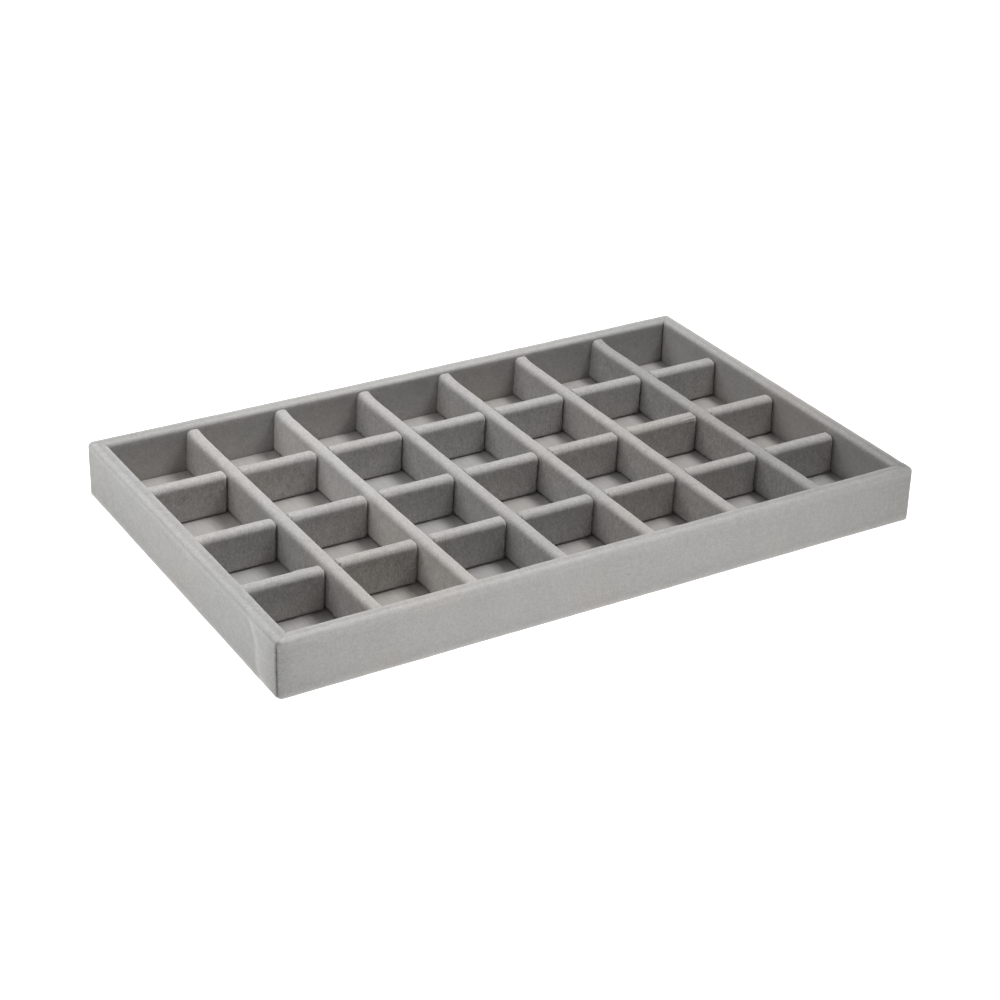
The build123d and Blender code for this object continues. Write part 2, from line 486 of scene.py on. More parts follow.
def wrap_section(sizes):
    """The outside of the wall velvet, as depth inside the outer face and height: from the hem under
    the board, up the outer face, over the rim and down the inner face."""
    rim, hem = sizes.rim_round, sizes.hem_round
    top, low = RIM_HEIGHT, WRAP_LOW - sizes.hem_drop
    down, left, up, right = -math.pi / 2, -math.pi, math.pi / 2, 0.0
    parts = [
        stretch((sizes.hem_reach, WRAP_LOW), (HEM_TURN, WRAP_LOW), WRAP_HEIGHT_STEP),
        stretch((HEM_TURN, WRAP_LOW), (hem, low), WRAP_HEIGHT_STEP / 2),
        bend((hem, low + hem), hem, down, left, WRAP_BEND_STEPS),
        stretch((0, low + hem), (0, top - rim), WRAP_HEIGHT_STEP),
        bend((rim, top - rim), rim, math.pi, up, WRAP_BEND_STEPS),
        stretch((rim, top), (WALL - rim, top), WRAP_HEIGHT_STEP),
        bend((WALL - rim, top - rim), rim, up, right, WRAP_BEND_STEPS),
        stretch((WALL, top - rim), (WALL, BASE_TOP), WRAP_HEIGHT_STEP),
        np.array([(WALL, BASE_TOP)]),
    ]
    return np.concatenate(parts)


def graded(half_run):
    """Shares of a wall's run from -1 to 1, closer together near both ends."""
    middle = half_run - WRAP_FINE_REACH
    coarse = np.linspace(-middle, middle, round(2 * middle / WRAP_COARSE_STEP), endpoint=False)
    fine = np.linspace(middle, half_run, round(WRAP_FINE_REACH / WRAP_FINE_STEP) + 1)
    return np.concatenate([-fine[:0:-1], coarse, fine]) / half_run


def wrap_grid(section, shares, half_run, half_across, corner, seam_angles):
    """Where each point of a section lies along a wall: straight, then round the corner to the seam."""
    depth, height = section[:, :1], section[:, 1:]
    turn = np.maximum(corner - depth, 0)
    past_corner = np.maximum(depth - corner, 0)
    straight = half_run - corner
    angles = np.where(shares < 0, seam_angles[0], seam_angles[1])
    seam = math.pi / 4 + angles * turn / corner
    reach = straight + turn * seam - past_corner + SEAM_LAP * (turn > 0)
    along = np.abs(shares) * reach
    angle = np.divide(np.maximum(along - straight, 0), turn, out=np.zeros_like(along), where=turn > 0)
    x = np.sign(shares) * (np.minimum(along, straight) + turn * np.sin(angle))
    y = past_corner - (half_across - corner) - turn * np.cos(angle)
    from_seam = (1 - np.abs(shares)) * reach
    return np.stack([x, y, height + 0 * x], axis=2), from_seam


# How the wall velvet lies, in metres
OUTSIDE_TOP = 0.0010
INSIDE_TOP = 0.0004
ZONE_FADE = 0.002
HEM_TURN = 0.0022
RIM_DIP = 0.00045
# Painted light: how far the lit colour takes to fade into the shaded one at the rim's inner edge
RIM_SHADE_FADE = 0.0012
WRAP_WAVE = 0.00012
WRAP_WAVE_SIZE = 0.024
WRAP_PUCKER = 0.00006
WRAP_PUCKER_SIZE = 0.006
SEAM_LAP = 0.00005
LAYER = 0.00026
LAYER_WIDTH = 0.0034
LAYER_FADE = 0.003
LAP_WIDTH = 0.0006
# How far the painted highlight over each turn of the section spreads
EDGE_HIGHLIGHT_SPREAD = 0.0040
# How far below the rim the painted shade by the open seam begins
SEAM_TOP = 0.0007
# How far below the rim the painted highlight along the outer edge runs
OUTER_EDGE_DEPTH = 0.0007
CORNER_FADE = 0.010
# What rises, sinks or is moved there: how far, and how wide it is or how far it reaches
OPEN_SEAM = (0.00060, 0.0010)
CLOSED_SEAM = (0.00018, 0.0010)
INNER_SEAM = (0.00030, 0.0010)
BEAD = (0.00028, 0.0056)
LAP = (0.00034, 0.014)
LAP_LIFT = (0.0005, 0.030)
CORNER_DROP = (0.0008, CORNER_FADE / 2)
CORNER_FLARE = (0.0004, CORNER_FADE)
# Painted highlights and painted shade on its pile, and one paler layer: how much, and how wide that is or
# how far it reaches
# How much paler the velvet is beyond the edge of the layer under the left wall's velvet
LAYER_PALE = 0.30
# Painted highlight on the fold's bead, partly for the pile opening there, and painted shade beside it
FOLD_HIGHLIGHT = (0.50, 0.0058)
FOLD_SHADE = (0.10, 0.0058)
# Painted highlight along the outer edge just below the rim
OUTER_EDGE_HIGHLIGHT = (0.60, 0.0019)
# Painted shade on the rim and outer face toward the front right corner
RIM_CORNER_SHADE = (1.05, 0.050)
FACE_CORNER_SHADE = (0.60, 0.035)
SEAM_SHADE = {"front": (1.5, 0.0018), "left": (1.5, 0.0009)}
# Painted shade on the faces beside the open seam, front left
FRONT_SEAM_SIDE_SHADE = ((0.65, 0.024), (0.55, 0.0025))
LEFT_SEAM_SIDE_SHADE = (0.85, 0.018)
# Painted light: how much paler or darker each wall's outer velvet is painted for the light on that side
WALL_PAINTED_LIGHT = {"front": 0.02, "right": -0.05, "back": -0.04, "left": -0.105}
# Painted light: how much paler it is painted from the middle of a wall to its end
WALL_PAINTED_LIGHT_SLOPES = {"front": 0.0, "right": 0.0, "back": 0.0, "left": 0.06}
# Painted light along the rims: how much paler each is painted toward one end, and how far past the middle
# that goes on
RIM_PAINTED_LIGHT = {"back": (-0.78, -0.2), "right": (0.30, -1.0)}
# The turned layer under the left wall's velvet: its height shares and its places from the front
LAYER_HEIGHTS = (0.0, 0.30, 0.61, 0.79, 1.0)
LAYER_PLACES = (0.0170, 0.0205, 0.0200, 0.0235, 0.0285)


def wall_zones(section):
    """How much each point of a wall's section lies on the outer face, on the inner face and on the rim."""
    depth, height = section[:, :1], section[:, 1:]
    on_outside = step_up(RIM_HEIGHT - OUTSIDE_TOP - height, ZONE_FADE) * (depth < WALL / 2)
    on_inside = step_up(RIM_HEIGHT - INSIDE_TOP - height, ZONE_FADE) * (depth > WALL / 2)
    return on_outside, on_inside, np.clip(1 - on_outside - on_inside, 0, 1)


def from_lap(side, points, half_run):
    """How far each point lies from the front right corner, where the velvet's ends overlap."""
    return half_run + (points[..., 0] if side == "right" else -points[..., 0])


def at_open_seam(side, points):
    """Which points lie on the half of a wall that ends at the open seam, front left."""
    ends = {"front": points[..., 0] < 0, "left": points[..., 0] > 0}
    return ends.get(side, np.zeros(points.shape[:-1], bool))


def wall_relief(side, points, placed, from_seam, section, half_run):
    """How far each point of a wall's velvet stands proud of its even place. The waves follow where the
    points are placed on the tray, so they run on across the corners."""
    height = section[:, 1:]
    on_outside, on_inside, on_rim = wall_zones(section)
    seam = np.where(at_open_seam(side, points), swell(OPEN_SEAM, from_seam), swell(CLOSED_SEAM, from_seam))
    relief = WRAP_WAVE * ripple(placed, WRAP_WAVE_SIZE)
    relief += WRAP_PUCKER * ripple(placed, WRAP_PUCKER_SIZE, seed=9.0)
    relief -= on_outside * seam + on_inside * swell(INNER_SEAM, from_seam)
    if side == "back":
        relief -= on_rim * RIM_DIP * np.cos(points[..., 0] / half_run * math.pi / 2) ** 2
    if side in ("front", "right"):
        distance = from_lap(side, points, half_run)
        relief += on_rim * (faded(LAP_LIFT, distance) - faded(CORNER_DROP, distance))
    if side == "left":
        past = layer_edge(points, height, half_run)
        above_hem = step_up(height - WRAP_LOW - LAYER_FADE, LAYER_FADE)
        relief += on_outside * above_hem * (LAYER * step_up(past, LAYER_WIDTH) + swell(BEAD, past))
    if side == "right":
        past = points[..., 0] + half_run - WALL
        relief -= (on_rim + on_outside) * step_up(past, LAP_WIDTH) * faded(LAP, np.maximum(past, 0))
    return relief


def corner_flare(side, points, section, half_run, reach):
    """How far each point near the fuller front right corner is moved out level with the floor, more at
    its foot than at its rim, and not past the reach of the hem."""
    depth, height = section[:, :1], section[:, 1:]
    way = np.array([1, -1]) if side == "front" else np.array([-1, -1])
    flare = faded(CORNER_FLARE, from_lap(side, points, half_run)) * np.clip(1 - depth / reach, 0, 1)
    return (flare * (1 - height / RIM_HEIGHT))[..., None] * way / math.sqrt(2)


def layer_edge(points, height, half_run):
    """How far each point of the left wall lies past the edge of the layer turned under its velvet."""
    share = (height - WRAP_LOW) / (RIM_HEIGHT - WRAP_LOW)
    return np.interp(share, LAYER_HEIGHTS, LAYER_PLACES) - (half_run - points[..., 0])


def painted_pile_light(side, points, from_seam, section, half_run):
    """Painted light on the wall velvet: painted highlights over its edges and its fold, partly for the pile
    opening there, painted light along the rims, painted shade toward the front right corner and by the open
    seam, and a paler layer past the fold.
    """
    on_outside, _, on_rim = wall_zones(section)
    height = section[:, 1:]
    outer_half = section[:, :1] < WALL / 2
    outside = outer_half * step_up(RIM_HEIGHT - SEAM_TOP - height, SEAM_TOP)
    # Painted highlights over the edges, and painted light along the rims
    slope, past_middle = RIM_PAINTED_LIGHT.get(side, (0.0, 0.0))
    mark = edge_highlight_share(section)[:, None] + on_rim * slope * np.maximum(points[..., 0] / half_run, past_middle)
    # Painted highlight along the outer edge
    mark += outer_half * swell(OUTER_EDGE_HIGHLIGHT, RIM_HEIGHT - OUTER_EDGE_DEPTH - height)
    if side in ("front", "right"):
        distance = from_lap(side, points, half_run)
        # Painted shade toward the front right corner
        mark -= on_rim * faded(RIM_CORNER_SHADE, distance) + on_outside * faded(FACE_CORNER_SHADE, distance)
    # Painted shade beside the open seam and down in it
    seam_side_shade = 0.0
    if side == "left":
        past = layer_edge(points, height, half_run)
        # Painted highlight on the fold, partly for the pile opening there, with painted shade beside it
        mark += outside * (swell(FOLD_HIGHLIGHT, past) - swell(FOLD_SHADE, past + FOLD_SHADE[1]))
        mark += outside * LAYER_PALE * step_up(past, LAYER_WIDTH)
        seam_side_shade = swell(LEFT_SEAM_SIDE_SHADE, from_seam) + swell(SEAM_SHADE[side], from_seam)
    if side == "front":
        seam_side_shade = swell(SEAM_SHADE[side], from_seam)
        seam_side_shade += sum(faded(press, from_seam) for press in FRONT_SEAM_SIDE_SHADE)
    return mark - outside * at_open_seam(side, points) * seam_side_shade


def edge_highlight_share(section):
    """1 where the section turns over the rim or under the wall, fading to 0 on its flats: where the painted
    highlight lies, partly for the pile opening there.
    """
    steps = np.linalg.norm(np.diff(section, axis=0), axis=1)
    along = np.concatenate([[0], np.cumsum(steps)])
    turns = np.gradient(np.unwrap(np.arctan2(*np.gradient(section, axis=0).T)))
    weight = np.abs(turns)[:, None] * bump(along[:, None] - along[None, :], EDGE_HIGHLIGHT_SPREAD)
    total = weight.sum(axis=0)
    return total / total.max()


def wall_wrap(side, sizes, material):
    """Lays the velvet of one wall, from its hem over the rim to the cells' floor."""
    turns = SIDES.index(side)
    long_side = side in ("front", "back")
    half_run, half_across = (HALF_LENGTH, HALF_WIDTH) if long_side else (HALF_WIDTH, HALF_LENGTH)
    section = wrap_section(sizes)
    way = np.gradient(section, axis=0)
    way /= np.linalg.norm(way, axis=1, keepdims=True)
    under = section + np.stack([way[:, 1], -way[:, 0]], axis=1) * sizes.velvet
    shares = graded(half_run)
    shifts = {"front": (sizes.seam_shift, 0.0), "left": (0.0, -sizes.seam_shift)}.get(side, (0.0, 0.0))
    place = (shares, half_run, half_across, sizes.corner_round, shifts)
    outer, from_seam = wrap_grid(section, *place)
    inner, _ = wrap_grid(under, *place)
    turn = np.array(Matrix.Rotation(turns * math.pi / 2, 3, "Z"))
    relief = wall_relief(side, outer, outer @ turn.T, from_seam, section, half_run)
    outer = outer + outward(outer, inner) * relief[..., None]
    if side in ("front", "right"):
        outer[..., :2] += corner_flare(side, outer, section, half_run, sizes.hem_reach)
    # Painted light: the lit colour on the outer face and rim, the shaded colour down the inner face
    inside = step_up(section[:, 0] - WALL + RIM_SHADE_FADE, RIM_SHADE_FADE)
    inside = inside * step_up(RIM_HEIGHT - RIM_SHADE_FADE - section[:, 1], RIM_SHADE_FADE)
    nap = np.broadcast_to(1 - inside[:, None], relief.shape)
    # The painted highlights and painted shade, and each wall's tone, painted paler or darker for the light
    # on that side
    marks = {"edge": painted_pile_light(side, outer, from_seam, section, half_run), "nap": nap,
             "tone": (WALL_PAINTED_LIGHT[side] + WALL_PAINTED_LIGHT_SLOPES[side] * outer[..., 0] / half_run) * nap}
    piece = shell(f"{side}_wall_wrap", outer @ turn.T, inner @ turn.T, marks, material)
    seat(piece, [f"{side}_wall_velvet"])
    girth = np.linalg.norm(np.diff(section, axis=0), axis=1).sum()


class TRAY_OT_wall_velvet(Operator):
    """Covers the four walls in velvet, with their seams"""

    bl_idname = "tray.wall_velvet"
    bl_label = "Wall Velvet"

    def execute(self, context):
        material = velvet("wall_pile", colour_of("wall_velvet"), colour_of("wall_shaded"),
                          **VELVETS["wall_pile"])
        for side in SIDES:
            wall_wrap(side, context.scene.tray_sizes, material)
        return {"FINISHED"}


# How the divider covers lie, in metres
COVER_WAVE_SIZE = 0.010
COVER_TUFT = 0.00005
COVER_TUFT_SIZE = 0.0024
END_FOLD_REACH = 0.0045
END_FOLD_SIZE = 0.0022
CREASE_REACH = 0.012
CREASE_PITCH = 0.0014
CREASE_ROWS = 5
CREASE_SIDE = (-0.8, 0.2)
CREASE_CELLS = 2.5
NEAR_REACH = 0.0010
NEAR_REACH_ZONE = 0.004
BACK_RISE = 0.0013
BACK_RISE_REACH = 0.010
SQUARENESS = 2.5
CUBE_HALF = 0.5
BELOW = -0.5
SEED_STEP = 7.3
WAVE_SEED_STEP = 1.7
# How every cover hangs and how its tones are shifted, and what differs on single ones, by the node that they
# cover
COVER_HABITS = {"Wave": 0.00014, "Sag": 0.00045, "Sag Size": 0.016, "End Fold": 0.00035, "Crease": 0.0,
                "Near Reach": 0.0, "Back Rise": 0.0, "Side Tone": 0.0, "Top Tone": 0.0}
OWN_HABITS = {
    "short_divider_velvet_1_1": {"Wave": 0.00030, "Sag": 0.0013, "Sag Size": 0.011},
    "short_divider_velvet_2_6": {"Crease": 0.00030},
    # Paler on its left side and a little on its crown
    "cross_divider_velvet_2": {"Side Tone": 0.42, "Top Tone": 0.05},
    # Painted shade: darker on its crown and left side
    "cross_divider_velvet_6": {"Side Tone": -0.12, "Top Tone": -0.14},
}

COVER_LENGTHS = (
    "Foot Left", "Foot Right", "Top Left", "Top Right", "Foot Half Width", "Top Half Width", "Foot Height",
    "Top Height", "Crown Round", "Near End Round", "Far End Round", "Hem Tuck", "Hem Height", "Nap Fade",
    "Wave", "Sag", "Sag Size", "End Fold", "Crease", "Near Reach", "Back Rise",
)
COVER_SETTINGS = {"Cells Along": "Int", "Cells Up": "Int", "Seed": "Int", "Side Tone": "Float",
                  "Top Tone": "Float", "Turn": "Float", "Place": "Vector", "Material": "Material"}


def cover_spread(graph, share, cells, zones, length):
    """Places along a length from shares of its cells: the first and last cells fill its end zones."""
    (low_cells, low), (high_cells, high) = zones
    low_share = low_cells / cells
    high_share = high_cells / cells
    first = graph.ranged(share, 0.0, low_share, 0.0, low)
    middle = graph.ranged(share, low_share, 1.0 - high_share, 0.0, length - low - high)
    return first + middle + graph.ranged(share, 1.0 - high_share, 1.0, 0.0, high)


def open_cover_tree():
    """The tree of a divider cover with its named inputs, and its graph, inputs and material input."""
    tree = bpy.data.node_groups.new("padded_divider_cover", "GeometryNodeTree")
    tree.interface.new_socket("Geometry", in_out="INPUT", socket_type="NodeSocketGeometry")
    tree.interface.new_socket("Geometry", in_out="OUTPUT", socket_type="NodeSocketGeometry")
    for name in COVER_LENGTHS:
        tree.interface.new_socket(name, in_out="INPUT", socket_type="NodeSocketFloat").subtype = "DISTANCE"
    for name, kind in COVER_SETTINGS.items():
        tree.interface.new_socket(name, in_out="INPUT", socket_type=f"NodeSocket{kind}")
    graph = Graph(tree)
    source = graph.node("NodeGroupInput", output="Geometry")
    return tree, graph, {name: source.other(name) for name in (*COVER_LENGTHS, *COVER_SETTINGS)}


def cover_tree():
    """Geometry nodes of one divider cover: a sleeve open below, with leaning sides, a padded crown
    and rounded ends, drawn in at its foot."""
    tree, graph, size = open_cover_tree()
    across_cells = 2 * COVER_CROWN_CELLS + COVER_ACROSS_CELLS
    cube = graph.node("GeometryNodeMeshCube", sockets={
        "Size": (1.0, 1.0, 1.0), "Vertices X": size["Cells Along"] + 1,
        "Vertices Y": across_cells + 1, "Vertices Z": size["Cells Up"] + 1})
    facing = graph.split(graph.node("GeometryNodeInputNormal")).other("Z")
    sleeve = graph.node("GeometryNodeDeleteGeometry", {"domain": "FACE"},
                        {"Geometry": cube, "Selection": facing.is_below(BELOW)})

    # Places in the sleeve before it is rounded
    cell = graph.split(graph.node("GeometryNodeInputPosition"))
    height = size["Top Height"] - size["Foot Height"]
    crown, near_end, far_end = size["Crown Round"], size["Near End Round"], size["Far End Round"]
    up = cover_spread(graph, cell.other("Z") + CUBE_HALF, size["Cells Up"],
                      ((COVER_HEM_CELLS, size["Hem Height"]), (COVER_CROWN_CELLS, crown)), height)
    share = up / height
    left, right, half = (size[f"Foot {part}"] + (size[f"Top {part}"] - size[f"Foot {part}"]) * share
                         for part in ("Left", "Right", "Half Width"))
    length = right - left
    along = cover_spread(graph, cell + CUBE_HALF, size["Cells Along"],
                         ((COVER_END_CELLS, near_end), (COVER_END_CELLS, far_end)), length) - length / 2
    across = cover_spread(graph, cell.other("Y") + CUBE_HALF, across_cells,
                          ((COVER_CROWN_CELLS, crown), (COVER_CROWN_CELLS, crown)), half * 2) - half

    # How far into each rounded zone a point lies, and the share of that depth that it keeps
    into_near = (near_end - length / 2 - along).at_least(0) / near_end
    into_far = (along + far_end - length / 2).at_least(0) / far_end
    into_end = into_near + into_far
    into_side = (abs(across) - (half - crown)).at_least(0) / crown
    into_top = (up - (height - crown)).at_least(0) / crown
    plan = (into_end ** SQUARENESS + into_side ** SQUARENESS) ** (1 / SQUARENESS)
    kept = 1 / (plan * plan + into_top * into_top).root().at_least(1)
    tuck = up.fading(size["Hem Height"])
    tuck = tuck * tuck * size["Hem Tuck"]
    lost = 1 - kept
    x = (left + right) / 2 + along + into_near * (near_end * lost + tuck)
    x = x - into_far * (far_end * lost + tuck)
    near_share = (along + length / 2).fading(NEAR_REACH_ZONE)
    x = x - near_share * into_top * into_top * into_top * size["Near Reach"]
    y = across - across.sign() * into_side * (crown * lost + tuck)
    z = size["Foot Height"] + up - into_top * crown * lost
    # Painted highlight on the crown's rounded edges
    edge = into_top * (into_side + into_end) * kept * kept * 2
    # Painted light: the lit colour on the crown, fading to the shaded colour down the sides
    below_top = (height - up + into_top * crown * lost) / size["Nap Fade"]
    nap = graph.node("ShaderNodeMapRange", {"interpolation_type": "SMOOTHSTEP"}, {0: 1 - below_top})

    # The crown sags a little here and there, and rises at the back end
    seed = size["Seed"] * SEED_STEP
    line = graph.vector(x / size["Sag Size"], seed)
    sag = graph.node("ShaderNodeTexNoise", sockets={"Vector": line, "Scale": 1.0, "Detail": 1.0})
    by_back = (length / 2 - along).fading(BACK_RISE_REACH)
    rise = (sag - NOISE_MIDDLE) * size["Sag"] + size["Back Rise"] * by_back * by_back
    z = z + rise * share * share * share
    # The left side's and the crown's tone shifts, some of them painted shade
    left_side = across.sign().at_least(0) * (1 - nap)
    tone = left_side * size["Side Tone"] + nap * size["Top Tone"]
    for mark, value in (("edge", edge), ("nap", nap), ("tone", tone)):
        sleeve = graph.node("GeometryNodeStoreNamedAttribute", {"data_type": "FLOAT", "domain": "POINT"},
                            {"Geometry": sleeve, "Name": mark, "Value": value})
    rounded = graph.vector(x, y, z)
    sleeve = graph.node("GeometryNodeSetPosition", sockets={"Geometry": sleeve, "Position": rounded})

    # Waves of the fabric, tucks at its ends and creases beside the right one
    place = graph.node("GeometryNodeInputPosition")
    point = graph.split(place)
    seeded = seed * WAVE_SEED_STEP
    wave = graph.mottle(place, COVER_WAVE_SIZE, seed=seeded) * 2 * size["Wave"]
    tufts = graph.mottle(place, COVER_TUFT_SIZE, seed=seeded) * 2 * COVER_TUFT
    near_end = (point - size["Foot Left"]).at_least(0).fading(END_FOLD_REACH)
    near_end = near_end + (size["Foot Right"] - point).at_least(0).fading(END_FOLD_REACH)
    fold = graph.mottle(place, END_FOLD_SIZE, seed=seeded) * 2 * size["End Fold"] * near_end
    beside = (size["Top Right"] - point).at_least(0).fading(CREASE_REACH)
    from_top = (size["Top Height"] - point.other("Z")) / CREASE_PITCH
    crease = (from_top * 2 * math.pi + point / CREASE_REACH).sine() * size["Crease"] * beside
    in_front = graph.ranged(point.other("Y") / size["Top Half Width"], *CREASE_SIDE, 1.0, 0.0)
    crease = crease * from_top.fading(CREASE_ROWS) * in_front
    proud = wave + tufts + fold + crease
    normal = graph.node("GeometryNodeInputNormal")
    moved = graph.vector_sum("ADD", place, graph.scaled(normal, proud))
    turned = graph.node("ShaderNodeVectorRotate", {"rotation_type": "Z_AXIS"},
                        {"Vector": moved, "Angle": size["Turn"]})
    placed = graph.vector_sum("ADD", turned, size["Place"])
    sleeve = graph.node("GeometryNodeSetPosition", sockets={"Geometry": sleeve, "Position": placed})
    sleeve = graph.node("GeometryNodeSetShadeSmooth", sockets={"Geometry": sleeve})
    sleeve = graph.node("GeometryNodeRealizeInstances", sockets={"Geometry": sleeve})
    sleeve = graph.node("GeometryNodeSetMaterial", sockets={
        "Geometry": sleeve, "Material": size["Material"]})
    graph.node("NodeGroupOutput", sockets={"Geometry": sleeve})
    return tree


def divider_cover(node, values, sizes):
    """Makes the cover of one divider from the tree, gives its velvet its thickness and seats it."""
    name = node.replace("velvet", "cover")
    piece = add_piece(name, bpy.data.meshes.new(name))
    maker = piece.modifiers.new("cover", "NODES")
    maker.node_group = bpy.data.node_groups.get("padded_divider_cover") or cover_tree()
    for item in maker.node_group.interface.items_tree:
        if item.in_out == "INPUT" and item.name in values:
            maker[item.identifier] = values[item.name]
    skin = piece.modifiers.new("velvet", "SOLIDIFY")
    skin.thickness = sizes.velvet
    skin.offset = -1.0
    made = piece.evaluated_get(bpy.context.evaluated_depsgraph_get())
    mesh = bpy.data.meshes.new_from_object(made)
    piece.modifiers.clear()
    empty, piece.data = piece.data, mesh
    bpy.data.meshes.remove(empty)
    mesh.name = name
    seat(piece, [node])
    core_of(node)


def core_of(node):
    """The name of the core, or row of cores, inside a cover."""
    words = node.split("_")
    if words[0] == "cross":
        return f"cross_divider_core_{words[-1]}"
    return f"short_divider_cores_{words[-2]}"


def cover_values(node, seed, sizes, along, lean):
    """What a cover tells its tree: its node's box, with the ends where they lean, and its habits. Along is
    the axis that it runs along, and lean says how far its left and right ends lean in at the foot."""
    low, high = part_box(node)
    half_run = (high[along] - low[along]) / 2
    values = {
        "Foot Left": lean[0] - half_run, "Foot Right": half_run - lean[1],
        "Top Left": -half_run, "Top Right": half_run,
        "Foot Half Width": FOOT_WIDTH / 2, "Top Half Width": sizes.top_width / 2,
        "Foot Height": low.z + sizes.foot_gap, "Top Height": high.z, "Crown Round": sizes.crown_round,
        "Near End Round": sizes.near_end_round, "Far End Round": sizes.right_end_round,
        "Hem Tuck": sizes.hem_tuck, "Hem Height": sizes.hem_height, "Nap Fade": sizes.lit_crown_fade,
        "Cells Along": round(2 * half_run / COVER_STEP), "Cells Up": round((high.z - low.z) / COVER_STEP),
        "Seed": seed, "Turn": along * math.pi / 2, "Material": divider_velvet(),
        "Place": ((low.x + high.x) / 2, (low.y + high.y) / 2, 0.0), **COVER_HABITS,
    }
    if lean[0]:
        values["Near Reach"] = NEAR_REACH
    values.update(OWN_HABITS.get(node, {}))
    if values["Crease"]:
        values["Cells Up"] = round(values["Cells Up"] * CREASE_CELLS)
    return values


def side_lean(node, high_side):
    """How far a short divider's end leans: with the cross divider beside it, or not at all at a wall."""
    low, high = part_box(node)
    wall_place = HALF_LENGTH - WALL
    at_wall = abs((high.x if high_side else -low.x) - wall_place) < WALL / 4
    lean = (FOOT_WIDTH - bpy.context.scene.tray_sizes.top_width) / 2
    return 0.0 if at_wall else lean * (high.z - low.z) / (CROSS_TOP - low.z)


def divider_velvet():
    """The dividers' velvet, made once and shared by all covers."""
    made = bpy.data.materials.get("cover_pile")
    return made or velvet("cover_pile", colour_of("divider_velvet"), colour_of("divider_shaded"),
                          **VELVETS["cover_pile"])


class TRAY_OT_cross_dividers(Operator):
    """Covers the dividers that run from the front wall to the back wall"""

    bl_idname = "tray.cross_dividers"
    bl_label = "Cross Divider Covers"

    def execute(self, context):
        sizes = context.scene.tray_sizes
        for seed, node in enumerate(CROSS_DIVIDERS):
            values = cover_values(node, seed, sizes, 1, (0.0, 0.0))
            values.update({"Far End Round": sizes.back_end_round, "Back Rise": BACK_RISE})
            divider_cover(node, values, sizes)
        return {"FINISHED"}


class TRAY_OT_short_dividers(Operator):
    """Covers the short dividers between the cross dividers"""

    bl_idname = "tray.short_dividers"
    bl_label = "Short Divider Covers"

    def execute(self, context):
        sizes = context.scene.tray_sizes
        for seed, node in enumerate(SHORT_DIVIDERS, start=len(CROSS_DIVIDERS)):
            lean = side_lean(node, False), side_lean(node, True)
            divider_cover(node, cover_values(node, seed, sizes, 0, lean), sizes)
        return {"FINISHED"}


def even_places(half, edge_round, step):
    """Places from -half to half, closer together within the rounding at both edges."""
    inside = half - edge_round
    middle = np.linspace(-inside, inside, round(2 * inside / step) + 1)
    rounding = inside + edge_round * np.linspace(0, 1, SHEET_EDGE_STEPS + 1)[1:]
    return np.concatenate([-rounding[::-1], middle, rounding])


def laid_sheet(name, node, up, material, corner, edge_round, wave, wave_size):
    """A flat sheet over its node's box: its shown side is rounded at the edges and slightly uneven."""
    low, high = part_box(node)
    half = np.array([(high.x - low.x) / 2, (high.y - low.y) / 2])
    x, y = np.meshgrid(*(even_places(h, edge_round, SHEET_STEP) for h in half), indexing="ij")
    plan = np.stack([x, y], axis=2)
    square = np.clip(plan, corner - half, half - corner)
    past = (plan - square) / corner
    reach = np.maximum(np.linalg.norm(past, axis=2, keepdims=True), 1e-9)
    plan = square + past * corner * np.abs(past).max(axis=2, keepdims=True) / reach
    to_edge = np.min(half - np.abs(np.stack([x, y], axis=2)), axis=2)
    inset = np.clip(1 - to_edge / edge_round, 0, 1)
    drop = edge_round * (1 - np.sqrt(1 - inset ** 2))
    shown, hidden = (high.z, low.z) if up else (low.z, high.z)
    away = 1 if up else -1
    flat = np.concatenate([plan, np.full((*x.shape, 1), shown)], axis=2)
    uneven = wave * ripple(flat, wave_size, seed=2.0) - wave
    outer = flat.copy()
    outer[..., 2] += away * (uneven - drop)
    inner = flat.copy()
    inner[..., 2] = hidden
    # A painted highlight mark at the rounded edges; the lining's velvet gives it no strength, and the felt
    # doesn't read it
    piece = shell(name, outer, inner, {"edge": inset}, material)
    return piece


# The lining and the felt, in metres: the rounding of corners and edges, and how high and long the waves are
LINING_SHAPE = (0.0010, 0.0006, 0.00010, 0.018)
FELT_SHAPE = (0.0030, 0.0003, 0.00006, 0.012)


class TRAY_OT_floor_lining(Operator):
    """Lays the smooth lining that shows as the floor of the cells"""

    bl_idname = "tray.floor_lining"
    bl_label = "Floor Lining"

    def execute(self, context):
        material = velvet("lining_pile", colour_of("lining"), colour_of("lining"), **VELVETS["lining_pile"])
        piece = laid_sheet("cell_floor_lining", "floor_lining", True, material, *LINING_SHAPE)
        seat(piece, ["floor_lining"])
        return {"FINISHED"}


class TRAY_OT_underside_felt(Operator):
    """Lays the felt sheet under the tray"""

    bl_idname = "tray.underside_felt"
    bl_label = "Underside Felt"

    def execute(self, context):
        material = felt("pressed_felt", colour_of("felt"))
        piece = laid_sheet("felt_sheet", "underside_felt", False, material, *FELT_SHAPE)
        seat(piece, ["underside_felt"])
        return {"FINISHED"}


class TRAY_OT_boards(Operator):
    """Gives the boards and cores inside the velvet their finish"""

    bl_idname = "tray.boards"
    bl_label = "Boards and Cores"

    def execute(self, context):
        material = fibreboard("raw_fibreboard", colour_of("fibreboard"))
        for name in BOARDS:
            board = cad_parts[name]
            board.data.materials.clear()
            board.data.materials.append(material)
        return {"FINISHED"}


# The studio, in metres; light levels are shares of white
STUDIO_HALF = 6.0
STUDIO_GAP = 0.0002
FLOOR_GLOW = 0.80
FLOOR_NEAR = 0.24
FLOOR_FAR = 0.55
